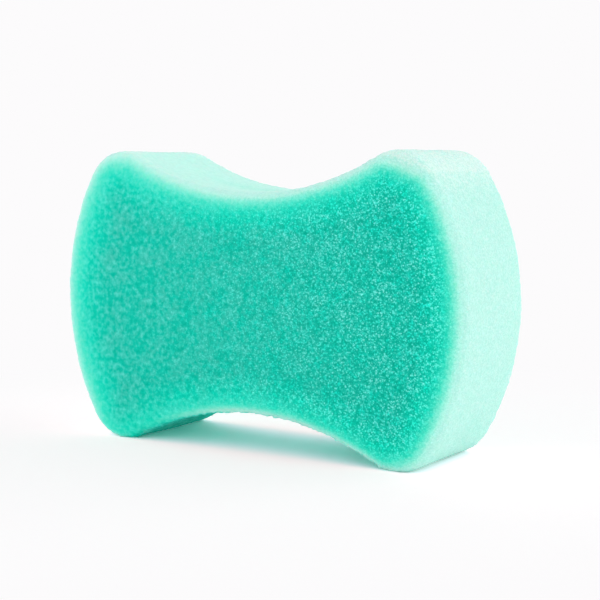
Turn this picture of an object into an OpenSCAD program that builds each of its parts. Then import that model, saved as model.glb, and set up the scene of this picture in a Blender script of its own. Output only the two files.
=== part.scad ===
// Bath sponge: one block of soft open-cell foam with bowed ends, four rounded
// corners and a waist that the hand closes round. It stands on its long narrow
// side, on the two lower corners.
//
// X runs along the length, Y through the thickness, with the front face
// towards -Y, and Z points up. The origin lies on the ground below the middle.

/* [Outline] */
// Length from end to end
body_length = 150; // [130:1:180]
// Height over the corners, before the foam settles
body_height = 96; // [88:1:106]
// Height left at the waist
waist_height = 70; // [60:0.5:78]
// Radius of the bowed ends
end_radius = 80; // [72:1:120]
// Radius of the four corners
corner_radius = 14; // [9:0.5:16]

/* [Section] */
// Thickness from front face to back face
body_depth = 44; // [30:1:60]
// Radius of the soft rim round each face
rim_radius = 4; // [2:0.5:6]

/* [Feet] */
// Depth that the foam settles by where a corner bears on the ground
foot_settle = 0.4; // [0.2:0.1:0.8]

/* [Hidden] */

// Colour of the foam
foam_colour = [0.16, 0.77, 0.68];

// Steps along each arc of the outline, an even number, and across each rim
arc_steps = 14;
rim_steps = 5;

// Height of the outline's middle above the ground
middle_z = body_height / 2 - foot_settle;

// The right end's arc crosses the X axis at half the length
end_x = body_length / 2 - end_radius;

// The upper right corner's arc touches the end's arc from inside, and its top
// is at half the height
corner_y = body_height / 2 - corner_radius;
corner_x = end_x + sqrt(pow(end_radius - corner_radius, 2) - pow(corner_y, 2));

// The upper waist's arc touches both upper corners from outside. The arc about
// the same centre through both corners' centres dips just as deep, which gives
// its radius from its chord and its depth
waist_dip = (body_height - waist_height) / 2;
waist_radius = pow(corner_x, 2) / (2 * waist_dip) + waist_dip / 2 - corner_radius;
waist_y = waist_height / 2 + waist_radius;

// Directions in which the arcs meet: from the end's centre to the corner's, and
// from the corner's centre to the waist's
end_turn = atan2(corner_y, corner_x - end_x);
waist_turn = atan2(waist_y - corner_y, -corner_x);

// Side of an arc that the foam lies on
INSIDE = 1;
OUTSIDE = -1;

// Half of the outline, from the right end over the top to the upper left
// corner, as [centre, radius, first angle, last angle, side]. The other half is
// the same, turned by 180 degrees
half_outline = [
    [[end_x, 0], end_radius, -end_turn, end_turn, INSIDE],
    [[corner_x, corner_y], corner_radius, end_turn, waist_turn, INSIDE],
    [[0, waist_y], waist_radius, waist_turn - 180, -waist_turn, OUTSIDE],
    [[-corner_x, corner_y], corner_radius, 180 - waist_turn, 180 - end_turn, INSIDE],
];

// Points round the whole outline
outline_count = 2 * len(half_outline) * arc_steps;

// Rings of the block from its front face to its back face, as [inset, height]
// along its thickness: each rim turns through a quarter circle, and the wall
// runs straight between the two
half_wall = body_depth / 2 - rim_radius;
front_rings = [
    for (step = [0 : rim_steps])
        let (angle = 90 * step / rim_steps)
            [rim_radius * (1 - sin(angle)), half_wall + rim_radius * cos(angle)]
];
back_rings = [for (step = [rim_steps : -1 : 0]) [front_rings[step][0], -front_rings[step][1]]];
rings = concat(front_rings, back_rings);

// Room that the ground's block leaves past the foam
ground_margin = 10;

// Points along an arc, moved into the foam by an inset. The last point is left
// to the next arc, which starts there
function arc_points(arc, inset) =
    let (centre = arc[0], radius = arc[1] - arc[4] * inset, sweep = arc[3] - arc[2])
    [
        for (step = [0 : arc_steps - 1])
            let (angle = arc[2] + sweep * step / arc_steps)
                centre + radius * [cos(angle), sin(angle)]
    ];

// The hourglass outline of tangent arcs, moved into the foam by an inset
function outline(inset) =
    let (half = [for (arc = half_outline) each arc_points(arc, inset)])
        concat(half, -half);

// Points of one ring, at its height
function ring_points(ring) = [for (point = outline(ring[0])) [point.x, point.y, ring[1]]];

// Four-cornered faces that join a ring to the next one
function ring_faces(index) =
    let (first = index * outline_count, next = first + outline_count)
    [
        for (i = [0 : outline_count - 1])
            let (j = (i + 1) % outline_count)
                [first + i, first + j, next + j, next + i]
    ];

// Point of the outline straight below another one, across the X axis
function point_below(i) = (arc_steps - i + outline_count) % outline_count;

// Three-cornered faces that fill one outline, in strips between its upper and
// its lower side, from the right tip to the left tip
function fill_faces() =
    let (right_tip = arc_steps / 2, left_tip = right_tip + outline_count / 2)
    [
        for (i = [right_tip : left_tip - 1])
            let (j = i + 1, below_i = point_below(i), below_j = point_below(j))
                each [
                    if (below_j != j) [i, j, below_j],
                    if (below_i != i) [i, below_j, below_i]
                ]
    ];

// The whole block, lying flat about the middle of its outline, with its front
// face up
module block() {
    last_ring = len(rings) - 1;
    last_first = last_ring * outline_count;
    front_face = [for (face = fill_faces()) [face[2], face[1], face[0]]];
    back_face = [for (face = fill_faces()) [for (i = face) last_first + i]];
    sides = [for (index = [0 : last_ring - 1]) each ring_faces(index)];
    polyhedron(
        points = [for (ring = rings) each ring_points(ring)],
        faces = concat(front_face, sides, back_face)
    );
}

// Ground that the lower corners settle flat against
module ground() {
    translate([-body_length / 2, -body_depth / 2 - ground_margin, -ground_margin])
        cube([body_length, body_depth + 2 * ground_margin, ground_margin]);
}

// The sponge, set up on its long narrow side
module sponge() {
    color(foam_colour)
        difference() {
            translate([0, 0, middle_z])
                rotate([90, 0, 0])
                    block();
            ground();
        }
}

sponge();
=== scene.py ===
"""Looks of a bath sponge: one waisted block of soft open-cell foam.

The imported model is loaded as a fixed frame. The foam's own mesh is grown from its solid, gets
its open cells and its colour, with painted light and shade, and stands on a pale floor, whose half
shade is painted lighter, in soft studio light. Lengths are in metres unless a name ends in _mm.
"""

import logging
from dataclasses import dataclass, field
from enum import Enum

import bpy
import numpy as np
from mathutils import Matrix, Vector


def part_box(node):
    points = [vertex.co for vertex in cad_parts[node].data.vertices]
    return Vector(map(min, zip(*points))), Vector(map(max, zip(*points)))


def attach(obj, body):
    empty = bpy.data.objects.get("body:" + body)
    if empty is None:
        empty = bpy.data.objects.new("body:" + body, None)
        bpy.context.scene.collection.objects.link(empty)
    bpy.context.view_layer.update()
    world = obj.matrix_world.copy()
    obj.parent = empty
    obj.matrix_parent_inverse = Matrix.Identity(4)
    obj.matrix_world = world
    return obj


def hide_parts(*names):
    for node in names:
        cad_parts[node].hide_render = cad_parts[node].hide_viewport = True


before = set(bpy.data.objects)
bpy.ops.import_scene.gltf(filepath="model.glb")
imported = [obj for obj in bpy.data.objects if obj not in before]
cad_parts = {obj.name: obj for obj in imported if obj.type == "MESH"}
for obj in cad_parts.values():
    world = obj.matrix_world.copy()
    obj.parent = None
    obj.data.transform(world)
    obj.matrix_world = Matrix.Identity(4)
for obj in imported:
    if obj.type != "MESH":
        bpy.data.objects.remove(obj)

LOG = logging.getLogger("bath_sponge")

MM = 0.001

# Attribute of the foam that holds how pale its painted light makes it
PAINTED_LIGHT_LAYER = "pale"

Colour = tuple[float, float, float]
Socket = bpy.types.NodeSocket

WHITE: Colour = (1.0, 1.0, 1.0)


def shade(red: int, green: int, blue: int) -> Colour:
    """Turns a colour as a screen shows it into the light that it stands for.

    Args:
        red: Red, from 0 to 255.
        green: Green, from 0 to 255.
        blue: Blue, from 0 to 255.

    Returns:
        The three linear values, from 0 to 1.
    """

    def linear(value: int) -> float:
        """Gives the linear value of one channel, by the sRGB curve."""
        part = value / 255
        return part / 12.92 if part <= 0.04045 else ((part + 0.055) / 1.055) ** 2.4

    return linear(red), linear(green), linear(blue)


class Side(Enum):
    """Side of an arc that the foam lies on."""

    INSIDE = 1
    OUTSIDE = -1


@dataclass(frozen=True)
class Arc:
    """One arc of the sponge's outline, in its X and Z plane."""

    centre: tuple[float, float]
    radius: float
    side: Side

    def depth(self, x: np.ndarray, z: np.ndarray) -> np.ndarray:
        """Measures how deep points lie in the foam, from this arc.

        Args:
            x: X of the points.
            z: Z of the points.

        Returns:
            The depth of each point, which is below zero outside the foam.
        """
        away = np.hypot(x - self.centre[0], z - self.centre[1])
        return self.side.value * (self.radius - away)

    def facing(self, x: np.ndarray, z: np.ndarray) -> np.ndarray:
        """Tells where the wall next to points faces.

        Args:
            x: X of the points.
            z: Z of the points.

        Returns:
            Angles in degrees, 0 where the wall faces along X, 90 straight up.
        """
        across, up = x - self.centre[0], z - self.centre[1]
        return np.degrees(np.arctan2(self.side.value * up, self.side.value * across))


@dataclass
class Outline:
    """The hourglass outline of tangent arcs, which the solid also follows."""

    length: float
    height: float = 96 * MM
    waist_height: float = 70 * MM
    end_radius: float = 80 * MM
    corner_radius: float = 14 * MM
    # Depth that the feet settle by
    settle: float = 0.4 * MM
    # Height of the outline's middle above the floor
    middle_z: float = field(init=False)
    # Arcs of the upper right quarter, about the outline's middle
    end: Arc = field(init=False)
    corner: Arc = field(init=False)
    waist: Arc = field(init=False)
    # Turn of the outline where the corner meets the waist, in degrees
    most_turned: float = field(init=False)

    def __post_init__(self) -> None:
        """Works out the arcs from the driving sizes."""
        half_height = self.height / 2
        self.middle_z = half_height - self.settle
        end_x = self.length / 2 - self.end_radius
        corner_z = half_height - self.corner_radius
        reach = self.end_radius - self.corner_radius
        corner_x = end_x + (reach**2 - corner_z**2) ** 0.5
        dip = half_height - self.waist_height / 2
        waist_radius = corner_x**2 / (2 * dip) + dip / 2 - self.corner_radius
        waist_z = self.waist_height / 2 + waist_radius
        self.end = Arc((end_x, 0.0), self.end_radius, Side.INSIDE)
        self.corner = Arc((corner_x, corner_z), self.corner_radius, Side.INSIDE)
        self.waist = Arc((0.0, waist_z), waist_radius, Side.OUTSIDE)
        self.most_turned = float(np.degrees(np.arctan2(waist_z - corner_z, -corner_x)))

    def measure(self, x: np.ndarray, z: np.ndarray) -> tuple[np.ndarray, np.ndarray]:
        """Finds how far points lie inside the outline, and how far it has turned.

        The outline has four like quarters, so the points are first brought
        into the upper right one, whose three arcs meet on straight lines.

        Args:
            x: X of the points.
            z: Z of the points above the floor.

        Returns:
            The depth inside the outline, and the outline's turn at the nearest
            wall, in degrees: 0 at the middle of an end, more towards the
            middle of the waist, and below zero on the lower half.
        """
        across, up = np.abs(x), z - self.middle_z
        high = np.abs(up)
        end_x = self.end.centre[0]
        corner_x, corner_z = self.corner.centre
        waist_z = self.waist.centre[1]

        by_end = high * (corner_x - end_x) <= (across - end_x) * corner_z
        by_waist = across * (waist_z - corner_z) <= (waist_z - high) * corner_x
        end_depth = self.end.depth(across, high)
        waist_depth = self.waist.depth(across, high)
        places = [by_end & ~(by_waist & (waist_depth < end_depth)), by_waist]
        depth = np.select(places, [end_depth, waist_depth], self.corner.depth(across, high))
        # The wall turns back along the waist, and its turn is counted on
        waist_turn = 2 * self.most_turned - self.waist.facing(across, high)
        turns = [self.end.facing(across, high), waist_turn]
        turn = np.select(places, turns, self.corner.facing(across, high))
        return depth, turn * np.sign(up)


class NodeBoard:
    """Lays out the nodes of a material or of the world, and joins them."""

    def __init__(self, owner: bpy.types.Material | bpy.types.World) -> None:
        """Starts on an empty board.

        Args:
            owner: The material or the world.
        """
        owner.use_nodes = True
        self.tree = owner.node_tree
        self.tree.nodes.clear()
        in_world = isinstance(owner, bpy.types.World)
        self.output = self.add("ShaderNodeOutputWorld" if in_world else "ShaderNodeOutputMaterial")

    def add(self, kind: str, settings: dict | None = None, **inputs: object) -> bpy.types.Node:
        """Adds a node.

        Args:
            kind: Blender's name of the node's type.
            settings: Values of the node's own properties.
            **inputs: A value or another node's socket for each input, by the
                input's name with underscores, or by its number after "i".

        Returns:
            The new node.
        """
        node = self.tree.nodes.new(kind)
        for name, value in (settings or {}).items():
            setattr(node, name, value)
        for name, value in inputs.items():
            numbered = name[0] == "i" and name[1:].isdigit()
            socket = node.inputs[int(name[1:]) if numbered else name.replace("_", " ")]
            if isinstance(value, bpy.types.NodeSocket):
                self.tree.links.new(value, socket)
            elif isinstance(value, tuple) and len(value) == 3 and socket.type == "RGBA":
                socket.default_value = (*value, 1.0)
            else:
                socket.default_value = value
        return node

    def math(self, operation: str, first: Socket | float, second: Socket | float) -> Socket:
        """Adds a sum of two values.

        Args:
            operation: Blender's name of the sum.
            first: First value.
            second: Second value.

        Returns:
            The socket of the result.
        """
        return self.add("ShaderNodeMath", {"operation": operation}, i0=first, i1=second).outputs[0]

    def channels(self, operation: str, first: Socket | Colour, second: Socket | Colour) -> Socket:
        """Adds a sum of two colours, channel by channel.

        Args:
            operation: Blender's name of the sum.
            first: First colour.
            second: Second colour.

        Returns:
            The socket of the result.
        """
        settings = {"operation": operation}
        return self.add("ShaderNodeVectorMath", settings, i0=first, i1=second).outputs[0]

    def spread(
        self, value: Socket, low: float, high: float, to_low: float = 0.0, to_high: float = 1.0
    ) -> Socket:
        """Maps a value from one range to another, softly at both ends.

        Args:
            value: The value.
            low: Lower end of the range that it has.
            high: Upper end of that range.
            to_low: What the lower end becomes.
            to_high: What the upper end becomes.

        Returns:
            The socket of the result.
        """
        node = self.add(
            "ShaderNodeMapRange",
            {"interpolation_type": "SMOOTHSTEP"},
            Value=value,
            From_Min=low,
            From_Max=high,
            To_Min=to_low,
            To_Max=to_high,
        )
        return node.outputs[0]

    def level(self, value: Socket, low: float, high: float) -> Socket:
        """Maps a value straight from one range to 0 to 1, and cuts it there.

        Args:
            value: The value.
            low: What becomes 0.
            high: What becomes 1.

        Returns:
            The socket of the result.
        """
        return self.add("ShaderNodeMapRange", Value=value, From_Min=low, From_Max=high).outputs[0]

    def noise(self, place: Socket, size: float, detail: float) -> Socket:
        """Adds an even cloudy pattern.

        Args:
            place: The place on the piece.
            size: Size of its patches.
            detail: How many finer layers it has.

        Returns:
            The socket of its value, about 0.5 on average.
        """
        node = self.add("ShaderNodeTexNoise", Vector=place, Scale=1 / size, Detail=detail)
        return node.outputs["Fac"]

    def blend(
        self,
        amount: Socket | float,
        first: Socket | Colour,
        second: Socket | Colour,
        way: str = "MIX",
    ) -> Socket:
        """Mixes two colours.

        Args:
            amount: Share of the second colour.
            first: First colour.
            second: Second colour.
            way: Blender's name of how they are mixed.

        Returns:
            The socket of the mixed colour.
        """
        settings = {"data_type": "RGBA", "blend_type": way, "clamp_result": True}
        return self.add("ShaderNodeMix", settings, i0=amount, i6=first, i7=second).outputs[2]

    def either(
        self, amount: Socket, first: bpy.types.Node, second: bpy.types.Node
    ) -> bpy.types.Node:
        """Mixes two shaders.

        Args:
            amount: Share of the second shader.
            first: Node of the first shader.
            second: Node of the second shader.

        Returns:
            The node of the mixed shader.
        """
        shaders = {"i1": first.outputs[0], "i2": second.outputs[0]}
        return self.add("ShaderNodeMixShader", i0=amount, **shaders)

    def seen(self) -> Socket:
        """Tells the rays that show a surface, straight or in gloss, from the rest.

        Returns:
            A socket that is 1 for a camera or glossy ray.
        """
        path = self.add("ShaderNodeLightPath").outputs
        return self.math("MAXIMUM", path["Is Camera Ray"], path["Is Glossy Ray"])

    def show(self, shader: bpy.types.Node) -> None:
        """Makes a shader what the material or the world shows."""
        self.tree.links.new(shader.outputs[0], self.output.inputs["Surface"])


@dataclass(frozen=True)
class PaintedLight:
    """Painted light that makes the foam pale, from its cut faces over the rims to its walls.

    The paleness stands for strong light: walls that face up get more of it, lower ones less, and
    the lower waist, in shade, keeps its teal. The way along the surface is counted from the middle
    of the nearer rim, below zero on the cut face and above zero on the wall.
    """

    # Turns of the outline, from the middle of the waist below to its middle on top, with how much
    # sooner the rim gets its painted light there and how pale that light makes its wall
    turn_deg: tuple[float, ...]
    sooner_mm: tuple[float, ...]
    reach: tuple[float, ...]
    # Ways along the surface at which the foam gets as pale as the next line says
    run_mm: tuple[float, ...]
    pale: tuple[float, ...] = (0.0, 0.1, 0.2, 0.3, 0.4, 0.5, 0.6, 0.7, 0.8, 0.9)
    # Way over which the sooner paling is lost again, before the last of those
    fade_mm: float = 3.2
    # Where the reach starts to count, and where it counts in full
    wall_mm: tuple[float, float] = (-4.0, 3.0)
    # The waists lose painted light between their two rims, as painted shade that is deepest under
    # the lower waist: by turn, how much paleness they lose, and where that loss starts and is full
    waist_deg: tuple[float, ...] = (-106.0, -88.0, 45.0, 75.0, 118.0, 138.0)
    waist_shade: tuple[float, ...] = (0.85, 0.0, 0.0, 0.06, 0.08, 0.19)
    loss_from_mm: tuple[float, ...] = (0.8, 0.8, 2.0, 2.0, 2.0, 2.0)
    loss_to_mm: tuple[float, ...] = (4.0, 4.0, 22.0, 22.0, 22.0, 22.0)

    def at(self, run_mm: np.ndarray, turn: np.ndarray) -> np.ndarray:
        """Tells how pale the painted light makes the foam at points.

        Args:
            run_mm: Way along the surface from the middle of the nearer rim.
            turn: The outline's turn.

        Returns:
            From 0 in the middle of a cut face to 1 where it is palest.
        """
        fade = np.clip((self.run_mm[-1] - run_mm) / self.fade_mm, 0, 1)
        sooner = np.interp(turn, self.turn_deg, self.sooner_mm) * fade
        pale = np.interp(run_mm + sooner, self.run_mm, self.pale)
        on_wall = np.interp(run_mm, self.wall_mm, (0.0, 1.0))
        pale *= 1 + on_wall * (np.interp(turn, self.turn_deg, self.reach) - 1)
        first = np.interp(turn, self.waist_deg, self.loss_from_mm)
        last = np.interp(turn, self.waist_deg, self.loss_to_mm)
        between = np.clip((run_mm - first) / (last - first), 0, 1)
        lost = np.interp(turn, self.waist_deg, self.waist_shade) * between
        return np.clip(np.minimum(pale, 1) - lost, 0, 1)


# Painted light over the right part of the sponge: most on its upper walls, less on its lower ones
NEAR_END_LIGHT = PaintedLight(
    turn_deg=(-125.0, -105.0, -85.0, -60.0, -25.0, 25.0, 45.0, 70.0, 95.0, 107.0, 118.0, 134.0),
    sooner_mm=(-1.6, -1.0, -0.4, -0.2, 0.0, 0.3, 2.4, 3.2, 2.3, 1.5, 0.7, 0.0),
    reach=(0.85, 0.80, 0.85, 0.96, 1.0, 1.0, 1.22, 1.35, 1.32, 1.13, 1.05, 0.99),
    run_mm=(-14.0, -11.0, -8.0, -5.5, -3.6, -2.4, -1.6, -1.0, -0.3, 0.6),
)
# Painted light over the left part: weaker on its lower walls, which lie in more shade, and spread
# wider over its rims
FAR_END_LIGHT = PaintedLight(
    turn_deg=(-125.0, -105.0, -85.0, -60.0, -25.0, 35.0, 60.0, 98.0, 118.0, 134.0),
    sooner_mm=(-4.0, -3.2, -2.4, -2.0, 1.0, 1.2, 1.2, 1.2, 0.5, 0.0),
    reach=(0.45, 0.50, 0.70, 0.93, 1.0, 1.0, 1.05, 1.06, 1.02, 0.99),
    run_mm=(-17.0, -12.5, -9.0, -6.5, -4.0, -2.0, -0.9, 0.0, 0.8, 1.6),
    loss_from_mm=(-0.5, -0.5, 2.0, 2.0, 2.0, 2.0),
)


@dataclass(frozen=True)
class FoamPatterns:
    """Sockets of the patterns that the foam's colour is made of."""

    # The place on the piece, and how pale the painted light makes the foam there
    place: Socket
    pale: Socket
    # Share of the single cells that shows, and the rest of it
    lively: Socket
    quiet: Socket
    # Clusters of cells, and the blots that take over from them
    cluster: Socket
    blots: Socket
    # The grain, from 0 in an open cell to 1 on a bright strut and 0.5 on average, how much of it
    # shows, and its struts alone, which get painted light
    grain: Socket
    share: Socket
    painted_struts: Socket


@dataclass(frozen=True)
class FoamFinish:
    """Teal foam of fine open cells, with painted light that pales it towards its walls, painted
    shade in its cells, and painted light and glints.
    """

    # Sizes of the patterns, from single cells to broad clouds
    cell: float = 0.46 * MM
    cluster: float = 1.2 * MM
    blot: float = 1.7 * MM
    cloud: float = 7 * MM
    glint_spacing: float = 1.6 * MM
    # X where the cells are calmest and where they are in full, the share of
    # them that is left where they are calmest, and of their white
    calm_x: float = -70 * MM
    lively_x: float = 60 * MM
    calm: float = 0.08
    calm_white: float = 0.38
    # X where the blots start and where they are in full, and their strength
    even_x: float = 75 * MM
    blotted_x: float = -45 * MM
    blots: float = 0.78
    # How pale the painted light makes the foam, and its colour there, from the teal of a cut face
    # to the pale mint of a brightly lit wall
    tones: tuple[tuple[float, Colour], ...] = (
        (0.00, shade(34, 201, 180)),
        (0.10, shade(27, 209, 186)),
        (0.20, shade(27, 217, 192)),
        (0.30, shade(46, 224, 199)),
        (0.40, shade(81, 231, 206)),
        (0.50, shade(122, 237, 215)),
        (0.60, shade(149, 240, 220)),
        (0.70, shade(171, 242, 225)),
        (0.80, shade(188, 244, 230)),
        (0.90, shade(189, 240, 228)),
        (1.00, shade(215, 244, 235)),
    )
    # Painted shade that an open cell takes from the colour, and painted light that a strut adds to
    # it
    cell_shade: Colour = (0.06, 0.73, 0.67)
    strut_light: Colour = (0.05, 0.25, 0.26)
    # How far from a knot of struts the foam is neither raised nor hollow, as a
    # share of a cell, and how much the knots count
    knot_reach: float = 0.45
    knot_share: float = 0.78
    # How pale the foam is where its grain starts to fade and where it has, and
    # how much of it is left on the walls
    grain_fade: tuple[float, float] = (0.12, 0.48)
    wall_grain: float = 0.20
    # What a painted glint of light adds, how far from its middle it starts and is full, as shares
    # of the spacing, and the draw at which a place gets a faint one and a full one
    glint: Colour = (0.24, 0.40, 0.44)
    glint_edge: tuple[float, float] = (0.26, 0.10)
    glint_pick: tuple[float, float] = (0.52, 0.76)
    # Clusters of cells are purer in colour, or have whiter painted light on their struts: what
    # that does, and the pattern's values at which it starts and is full
    pure: Colour = (0.22, 1.0, 0.96)
    pure_from: tuple[float, float] = (0.54, 0.25)
    white_strut: Colour = (0.17, 0.035, 0.10)
    white_from: tuple[float, float] = (0.40, 0.74)
    # How much the clouds count among the clusters, and how pale the foam is
    # where the clusters start to fade and where they have
    cloud_share: float = 0.7
    cluster_fade: tuple[float, float] = (0.15, 0.55)
    # How ragged the change of colour is by clusters and by single cells, how
    # pale the foam is where that starts and is full, where it has fallen off
    # towards the walls and where it starts to, and how much of it is left there
    ragged_cluster: float = 0.18
    ragged_grain: float = 0.04
    ragged_rim: tuple[float, float] = (0.08, 0.30)
    ragged_wall: tuple[float, float] = (0.90, 0.60)
    wall_patches: float = 0.80
    # The surface: its fine bump, its shine, and the share of the light that
    # goes into it, with how far each channel goes as shares of a length
    bump: float = 0.4
    bump_depth: float = 0.35 * MM
    roughness: float = 0.92
    refraction: float = 1.4
    shine: float = 0.04
    inner_light: float = 0.6
    inner_reach: tuple[float, float, float] = (0.4, 1.0, 0.85)
    inner_scale: float = 5 * MM

    def make(self) -> bpy.types.Material:
        """Makes the material.

        Returns:
            The material.
        """
        material = bpy.data.materials.new("teal_foam")
        board = NodeBoard(material)
        patterns = self._lay_patterns(board)
        colour = self._tone(board, patterns)
        colour = self._paint_cell_shading(board, patterns, colour)
        colour = self._paint_glints(board, patterns, colour)
        colour = self._colour_clusters(board, patterns, colour)
        bump = board.add(
            "ShaderNodeBump",
            Height=patterns.grain,
            Strength=self.bump,
            Distance=self.bump_depth,
        )
        foam = board.add(
            "ShaderNodeBsdfPrincipled",
            Base_Color=colour,
            Roughness=self.roughness,
            IOR=self.refraction,
            Specular_IOR_Level=self.shine,
            Subsurface_Weight=self.inner_light,
            Subsurface_Radius=self.inner_reach,
            Subsurface_Scale=self.inner_scale,
            Normal=bump.outputs["Normal"],
        )
        board.show(foam)
        return material

    def _lay_patterns(self, board: NodeBoard) -> FoamPatterns:
        """Lays out the patterns.

        Args:
            board: The board that gets the nodes.

        Returns:
            The patterns' sockets.
        """
        place = board.add("ShaderNodeTexCoord").outputs["Object"]
        pale = board.add("ShaderNodeAttribute", {"attribute_name": PAINTED_LIGHT_LAYER}).outputs["Fac"]
        x = board.add("ShaderNodeSeparateXYZ", i0=place).outputs["X"]
        lively = board.spread(x, self.calm_x, self.lively_x, self.calm, 1.0)
        fine = board.math("MULTIPLY", self._cells(board, place), lively)
        blots = board.noise(place, self.blot, detail=1.0)
        blotted = board.spread(x, self.even_x, self.blotted_x, 0.0, self.blots)
        coarse = board.math("MULTIPLY", board.math("SUBTRACT", blots, 0.5), blotted)
        grain = board.math("ADD", 0.5, board.math("ADD", fine, coarse))
        share = board.spread(pale, *self.grain_fade, 1.0, self.wall_grain)
        return FoamPatterns(
            place=place,
            pale=pale,
            lively=lively,
            quiet=board.math("SUBTRACT", 1.0, lively),
            cluster=board.noise(place, self.cluster, detail=2.0),
            blots=blots,
            grain=grain,
            share=share,
            painted_struts=board.math("MULTIPLY", board.level(grain, 0.5, 1.0), share),
        )

    def _cells(self, board: NodeBoard, place: Socket) -> Socket:
        """Lays out the single cells.

        Args:
            board: The board that gets the nodes.
            place: The place on the piece.

        Returns:
            Below zero in an open cell and above zero on a strut.
        """
        cells = board.add("ShaderNodeTexVoronoi", Vector=place, Scale=1 / self.cell).outputs
        tint = board.add("ShaderNodeSeparateColor", i0=cells["Color"]).outputs["Red"]
        depth = board.math("SUBTRACT", tint, 0.5)
        near_knot = board.math("SUBTRACT", self.knot_reach, cells["Distance"])
        return board.math("ADD", depth, board.math("MULTIPLY", near_knot, self.knot_share))

    def _tone(self, board: NodeBoard, patterns: FoamPatterns) -> Socket:
        """Finds the foam's tone, which changes raggedly from a face to a wall.

        Args:
            board: The board that gets the nodes.
            patterns: The foam's patterns.

        Returns:
            The tone's colour.
        """
        on_rim = board.spread(patterns.pale, *self.ragged_rim)
        off_wall = board.spread(patterns.pale, *self.ragged_wall, self.wall_patches, 1.0)
        by_cluster = board.math("SUBTRACT", patterns.cluster, 0.5)
        by_grain = board.math("SUBTRACT", patterns.grain, 0.5)
        uneven = board.math(
            "ADD",
            board.math("MULTIPLY", by_cluster, self.ragged_cluster),
            board.math("MULTIPLY", by_grain, self.ragged_grain),
        )
        ragged = board.math("MULTIPLY", uneven, board.math("MULTIPLY", on_rim, off_wall))
        node = board.add("ShaderNodeValToRGB", Fac=board.math("ADD", patterns.pale, ragged))
        ramp = node.color_ramp
        ramp.interpolation = "LINEAR"
        while len(ramp.elements) < len(self.tones):
            ramp.elements.new(0.5)
        for stop, (position, colour) in zip(ramp.elements, self.tones):
            stop.position = position
            stop.color = (*colour, 1.0)
        return node.outputs["Color"]

    def _paint_cell_shading(self, board: NodeBoard, patterns: FoamPatterns, colour: Socket) -> Socket:
        """Paints shade into the open cells and light onto the struts.

        Args:
            board: The board that gets the nodes.
            patterns: The foam's patterns.
            colour: The foam's colour so far.

        Returns:
            The foam's new colour.
        """
        shaded_cells = board.math("MULTIPLY", board.level(patterns.grain, 0.5, 0.0), patterns.share)
        colour = board.blend(shaded_cells, colour, self.cell_shade, "MULTIPLY")
        return board.blend(patterns.painted_struts, colour, self.strut_light, "ADD")

    def _paint_glints(self, board: NodeBoard, patterns: FoamPatterns, colour: Socket) -> Socket:
        """Paints a few small glints of light.

        Args:
            board: The board that gets the nodes.
            patterns: The foam's patterns.
            colour: The foam's colour so far.

        Returns:
            The foam's new colour.
        """
        scale = 1 / self.glint_spacing
        glints = board.add("ShaderNodeTexVoronoi", Vector=patterns.place, Scale=scale).outputs
        near = board.spread(glints["Distance"], *self.glint_edge)
        picked = board.spread(glints["Color"], *self.glint_pick)
        spark = board.math("MULTIPLY", near, picked)
        shining = board.math("MULTIPLY", patterns.share, patterns.lively)
        return board.blend(board.math("MULTIPLY", spark, shining), colour, self.glint, "ADD")

    def _colour_clusters(
        self, board: NodeBoard, patterns: FoamPatterns, colour: Socket
    ) -> Socket:
        """Makes some clusters of cells purer in colour, and makes the painted light on the struts
        of others whiter.

        Args:
            board: The board that gets the nodes.
            patterns: The foam's patterns.
            colour: The foam's colour so far.

        Returns:
            The foam's new colour.
        """
        fine = board.math("MULTIPLY", patterns.cluster, patterns.lively)
        coarse = board.math("MULTIPLY", patterns.blots, patterns.quiet)
        cloud = board.noise(patterns.place, self.cloud, detail=2.0)
        drift = board.math("MULTIPLY", board.math("SUBTRACT", cloud, 0.5), self.cloud_share)
        varied = board.math("ADD", board.math("ADD", fine, coarse), drift)

        off_wall = board.spread(patterns.pale, *self.cluster_fade, 1.0, 0.0)
        purer = board.math("MULTIPLY", board.level(varied, *self.pure_from), off_wall)
        struts = board.math("MULTIPLY", patterns.painted_struts, patterns.lively)
        soft = board.math("MULTIPLY", patterns.quiet, self.calm_white)
        light = board.math("MULTIPLY", board.math("ADD", struts, soft), off_wall)
        whiter = board.math("MULTIPLY", board.level(varied, *self.white_from), light)
        colour = board.blend(purer, colour, self.pure, "MULTIPLY")
        return board.blend(whiter, colour, self.white_strut, "ADD")


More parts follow.
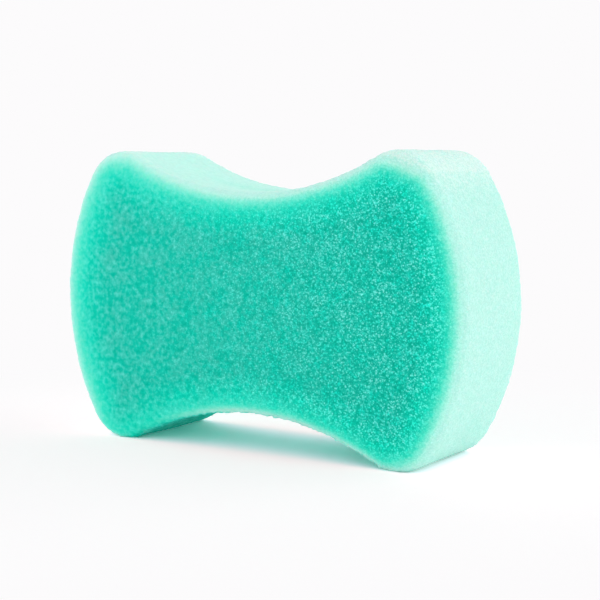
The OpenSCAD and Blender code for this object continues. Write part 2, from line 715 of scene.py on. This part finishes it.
@dataclass(frozen=True)
class FloorFinish:
    """White studio floor, with painted light that lifts its half shade, so that only the shadow
    close to the sponge stays.
    """

    # Light on the open floor, as a share of full light
    light: float
    white: Colour = shade(252, 251, 252)
    # For rays that the camera doesn't see: how white the floor is, and the light
    # that it adds to what stands on it
    bounce: float = 0.95
    glow: float = 0.12
    # Painted light lifts the floor's half shade to white: the share of the shade that stays, and
    # the most that the rest is lifted by
    kept_shade: float = 0.16
    most_lift: Colour = (1.74, 1.52, 1.58)
    # How far off something still shades the floor, and the rays that find it
    shade_reach: float = 1.0
    shade_samples: int = 32
    # Light that the foam throws onto the floor next to it
    foam_glow: Colour = (0.02, 0.55, 0.44)
    # Painted teal shade where the foam touches the floor, standing in for the light that the foam
    # lets through, and the share of open sky that ends this
    touch: Colour = (0.60, 1.0, 0.96)
    touch_end: float = 0.06
    # Distance from the sponge's middle at which the floor starts to turn into
    # the backdrop, and at which it has
    near: float = 120 * MM
    far: float = 195 * MM

    def make(self) -> bpy.types.Material:
        """Makes the material.

        Returns:
            The material.
        """
        material = bpy.data.materials.new("studio_floor")
        board = NodeBoard(material)
        board.show(board.either(board.seen(), self._unseen(board), self._shown(board)))
        return material

    def _unseen(self, board: NodeBoard) -> bpy.types.Node:
        """Lays out the floor for rays that the camera doesn't see.

        Args:
            board: The board that gets the nodes.

        Returns:
            The node of the shader.
        """
        plain = board.add("ShaderNodeBsdfDiffuse", Color=(self.bounce,) * 3)
        glow = board.add("ShaderNodeEmission", Color=self.white, Strength=self.glow)
        return board.add("ShaderNodeAddShader", i0=plain.outputs[0], i1=glow.outputs[0])

    def _shown(self, board: NodeBoard) -> bpy.types.Node:
        """Lays out the floor for rays that the camera sees, with painted light that lifts its half
        shade.

        Args:
            board: The board that gets the nodes.

        Returns:
            The node of the shader.
        """
        settings = {"samples": self.shade_samples}
        shading = board.add("ShaderNodeAmbientOcclusion", settings, Distance=self.shade_reach)
        open_sky = shading.outputs["AO"]
        received = board.blend(open_sky, self.foam_glow, WHITE)
        lifting = board.channels("POWER", received, (1 - self.kept_shade,) * 3)
        open_floor = tuple(part / self.light for part in self.white)
        evened = board.channels("DIVIDE", open_floor, lifting)
        painted_lift = board.channels("MINIMUM", evened, self.most_lift)
        painted_touch = board.blend(board.level(open_sky, 0.0, self.touch_end), self.touch, WHITE)
        painted_floor = board.channels("MULTIPLY", painted_lift, painted_touch)
        near_floor = board.add("ShaderNodeBsdfDiffuse", Color=painted_floor)
        far_floor = board.add("ShaderNodeEmission", Color=self.white, Strength=1.0)

        place = board.add("ShaderNodeTexCoord").outputs["Object"]
        reach = board.add("ShaderNodeVectorMath", {"operation": "LENGTH"}, i0=place)
        away = board.spread(reach.outputs["Value"], self.near, self.far)
        return board.either(away, near_floor, far_floor)


class Pattern(Enum):
    """Pattern that the foam's relief follows."""

    CLOUDS = "CLOUDS"
    CELLS = "VORONOI"


@dataclass(frozen=True)
class Relief:
    """One pass of the foam's relief."""

    name: str
    pattern: Pattern
    spacing: float
    # From the lowest to the highest
    height: float
    only_rims: bool = False
    cell_contrast: float = 1.2

    def texture(self) -> bpy.types.Texture:
        """Makes the texture that the pass follows.

        Returns:
            The texture.
        """
        texture = bpy.data.textures.new(self.name, self.pattern.value)
        texture.noise_scale = self.spacing
        if self.pattern is Pattern.CELLS:
            texture.distance_metric = "DISTANCE"
            texture.noise_intensity = self.cell_contrast
        else:
            texture.noise_depth = 1
        return texture


@dataclass
class FoamBlock:
    """The sponge itself: one solid block of foam on its two lower corners."""

    name: str = "foam_block"
    node: str = "sponge"
    body: str = "root"
    slot: str = "foam"
    rim_radius: float = 4 * MM
    # Distance within which the solid's loose points are one
    merge: float = 0.001 * MM
    # Size of the mesh's faces, and how often and how much it is eased
    grain: float = 0.69 * MM
    ease_times: int = 4
    ease_share: float = 0.5
    # From broad to fine
    relief: tuple[Relief, ...] = (
        Relief("waves", Pattern.CLOUDS, 18 * MM, 0.5 * MM),
        Relief("lumps", Pattern.CLOUDS, 5 * MM, 0.14 * MM),
        Relief("cells", Pattern.CELLS, 1.5 * MM, 0.30 * MM),
        Relief("teeth", Pattern.CELLS, 1.2 * MM, 0.90 * MM, only_rims=True),
    )
    # Half the width of the ragged band along each cut edge, the outline's turn
    # where it is most and least ragged, and how much that least is
    ragged: float = 3.2 * MM
    ragged_turn: tuple[float, float] = (-85.0, -60.0)
    ragged_least: float = 0.3
    # Height below which the foam bears on the floor
    foot_height: float = 0.15 * MM
    # X where the far end's painted light is reached, and where it starts
    far_end: tuple[float, float] = (-45 * MM, -8 * MM)
    sponge: bpy.types.Object = field(init=False, repr=False)

    def build(self) -> bpy.types.Object:
        """Grows the foam's mesh from its solid and gives it its relief.

        Returns:
            The sponge, in place.
        """
        self.sponge = self._copy_solid()
        self._remesh()
        for relief in self.relief:
            self._raise_relief(relief)
        self._seat()
        self._paint_light()
        bpy.ops.object.shade_smooth()
        return self.sponge

    def dress(self, finish: FoamFinish) -> None:
        """Gives the sponge its finish and its place in the frame.

        Args:
            finish: The foam's finish.
        """
        self.sponge.data.materials.clear()
        self.sponge.data.materials.append(finish.make())
        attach(self.sponge, self.body)
        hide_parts(self.node)

    def _copy_solid(self) -> bpy.types.Object:
        """Copies the solid's mesh into a new object and merges its points.

        Returns:
            The new object, selected and active.
        """
        bpy.ops.object.select_all(action="DESELECT")
        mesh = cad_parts[self.node].data.copy()
        mesh.name = self.name
        sponge = bpy.data.objects.new(self.name, mesh)
        bpy.context.scene.collection.objects.link(sponge)
        bpy.context.view_layer.objects.active = sponge
        sponge.select_set(True)
        bpy.ops.object.mode_set(mode="EDIT")
        bpy.ops.mesh.select_all(action="SELECT")
        bpy.ops.mesh.remove_doubles(threshold=self.merge)
        bpy.ops.object.mode_set(mode="OBJECT")
        return sponge

    def _remesh(self) -> None:
        """Turns the block into an even grain of small faces."""
        grain = self.sponge.modifiers.new("grain", "REMESH")
        grain.mode = "VOXEL"
        grain.voxel_size = self.grain
        bpy.ops.object.modifier_apply(modifier=grain.name)
        ease = self.sponge.modifiers.new("ease", "SMOOTH")
        ease.factor = self.ease_share
        ease.iterations = self.ease_times
        bpy.ops.object.modifier_apply(modifier=ease.name)

    def _raise_relief(self, relief: Relief) -> None:
        """Moves the surface in and out by one pass of relief.

        Args:
            relief: The pass.
        """
        push = self.sponge.modifiers.new(relief.name, "DISPLACE")
        push.texture = relief.texture()
        push.texture_coords = "LOCAL"
        push.direction = "NORMAL"
        push.mid_level = 0.5
        push.strength = relief.height
        if relief.only_rims:
            push.vertex_group = self._group_rims().name
        bpy.ops.object.modifier_apply(modifier=push.name)
        self.sponge.vertex_groups.clear()

    def _group_rims(self) -> bpy.types.VertexGroup:
        """Groups the points along the cut edges, less and less away from them.

        Returns:
            The group.
        """
        _, run, turn = self._measure()
        weights = np.clip(1 - np.abs(run - self.ragged / 2) / self.ragged, 0, 1)
        weights *= np.interp(turn, self.ragged_turn, (1.0, self.ragged_least))
        group = self.sponge.vertex_groups.new(name="rims")
        for index in np.flatnonzero(weights):
            group.add([int(index)], float(weights[index]), "REPLACE")
        return group

    def _seat(self) -> None:
        """Lets the two feet settle flat on the floor again."""
        mesh = self.sponge.data
        low = self._points()[:, 2] < self.foot_height
        bpy.ops.object.mode_set(mode="EDIT")
        bpy.ops.mesh.select_mode(type="VERT")
        bpy.ops.object.mode_set(mode="OBJECT")
        mesh.vertices.foreach_set("select", low)
        mesh.update()
        bpy.ops.object.mode_set(mode="EDIT")
        bpy.ops.transform.resize(value=(1.0, 1.0, 0.0), center_override=(0.0, 0.0, 0.0))
        bpy.ops.object.mode_set(mode="OBJECT")

    def _points(self) -> np.ndarray:
        """Lists the sponge's points.

        Returns:
            One row of X, Y and Z for each point.
        """
        vertices = self.sponge.data.vertices
        points = np.empty(len(vertices) * 3)
        vertices.foreach_get("co", points)
        return points.reshape(-1, 3)

    def _measure(self) -> tuple[np.ndarray, np.ndarray, np.ndarray]:
        """Finds where each point lies along the surface.

        Returns:
            The points' X, their way from the middle of the nearer rim, below
            zero on the cut faces, and the outline's turn there.
        """
        points = self._points()
        low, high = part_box(self.node)
        inside, turn = Outline(length=high.x - low.x).measure(points[:, 0], points[:, 2])
        half_wall = (high.y - low.y) / 2 - self.rim_radius
        past_wall = np.abs(points[:, 1]) - half_wall
        rim_half = self.rim_radius * np.pi / 4
        round_rim = np.arctan2(self.rim_radius - inside, past_wall)
        run = np.select(
            [inside >= self.rim_radius, past_wall <= 0],
            [self.rim_radius - inside - rim_half, rim_half - past_wall],
            self.rim_radius * round_rim - rim_half,
        )
        return points[:, 0], run, turn

    def _paint_light(self) -> None:
        """Stores how pale the painted light makes the foam at each point, for its finish."""
        x, run, turn = self._measure()
        far = np.interp(x, self.far_end, (1.0, 0.0))
        pale = far * FAR_END_LIGHT.at(run / MM, turn) + (1 - far) * NEAR_END_LIGHT.at(run / MM, turn)
        layer = self.sponge.data.attributes.new(PAINTED_LIGHT_LAYER, "FLOAT", "POINT")
        layer.data.foreach_set("value", pale.astype(np.float32))


@dataclass(frozen=True)
class Studio:
    """The pale floor, the even light all round and the soft lamp above."""

    floor_size: float = 8.0
    # Strength of the even light, where 1 is full light
    sky: float = 0.95
    lamp_strength: float = 0.55
    # Angle that the lamp fills, in degrees, and the direction that it is in
    lamp_softness: float = 70.0
    lamp_from: tuple[float, float, float] = (0.80, 0.45, 0.33)

    def light_on_floor(self) -> float:
        """Gives the light on the open floor, as a share of full light."""
        return self.sky + self.lamp_strength / np.pi * Vector(self.lamp_from).normalized().z

    def build(self) -> None:
        """Lays the floor and sets the lights."""
        finish = FloorFinish(light=self.light_on_floor())
        self._lay_floor(finish)
        self._set_sky(finish.white)
        self._hang_lamp()

    def _lay_floor(self, finish: FloorFinish) -> None:
        """Lays the floor.

        Args:
            finish: The floor's finish.
        """
        bpy.ops.object.select_all(action="DESELECT")
        bpy.ops.mesh.primitive_plane_add(size=self.floor_size)
        floor = bpy.context.object
        floor.name = "studio_floor"
        floor.data.materials.append(finish.make())

    def _set_sky(self, white: Colour) -> None:
        """Lights the room evenly, with a backdrop that is white to the eye.

        Args:
            white: The backdrop's white.
        """
        world = bpy.data.worlds.new("studio_sky")
        bpy.context.scene.world = world
        board = NodeBoard(world)
        light = board.add("ShaderNodeBackground", Color=WHITE, Strength=self.sky)
        backdrop = board.add("ShaderNodeBackground", Color=white, Strength=1.0)
        board.show(board.either(board.seen(), light, backdrop))

    def _hang_lamp(self) -> None:
        """Hangs the large soft lamp above, behind and to the right."""
        bpy.ops.object.light_add(type="SUN", location=self.lamp_from)
        lamp = bpy.context.object
        lamp.name = "soft_lamp"
        lamp.data.energy = self.lamp_strength
        lamp.data.angle = np.radians(self.lamp_softness)
        lamp.rotation_euler = Vector(self.lamp_from).to_track_quat("Z", "Y").to_euler()


@dataclass(frozen=True)
class Viewpoint:
    """Where the camera stands, what it looks at and its lens."""

    position: tuple[float, float, float] = (0.24751, -0.38583, 0.09055)
    target: tuple[float, float, float] = (0.00423, 0.00261, 0.04727)
    lens_mm: float = 84.6
    sensor_mm: float = 36.0
    # Nearest distance that the camera shows
    nearest: float = 10 * MM

    def build(self) -> None:
        """Sets up the camera."""
        aim = Vector(self.target) - Vector(self.position)
        turn = aim.to_track_quat("-Z", "Y").to_euler()
        bpy.ops.object.camera_add(location=self.position, rotation=turn)
        camera = bpy.context.object
        camera.name = "studio_camera"
        camera.data.lens = self.lens_mm
        camera.data.sensor_width = self.sensor_mm
        camera.data.clip_start = self.nearest
        bpy.context.scene.camera = camera


def main() -> None:
    """Builds the scene and reports each piece."""
    logging.basicConfig(level=logging.INFO, format="%(name)s: %(message)s")
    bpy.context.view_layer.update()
    bpy.context.scene.view_settings.view_transform = "Standard"
    Viewpoint().build()
    Studio().build()
    block = FoamBlock()
    sponge = block.build()
    block.dress(FoamFinish())
    LOG.info("%s: %d faces", sponge.name, len(sponge.data.polygons))


if __name__ == "__main__":
    main()
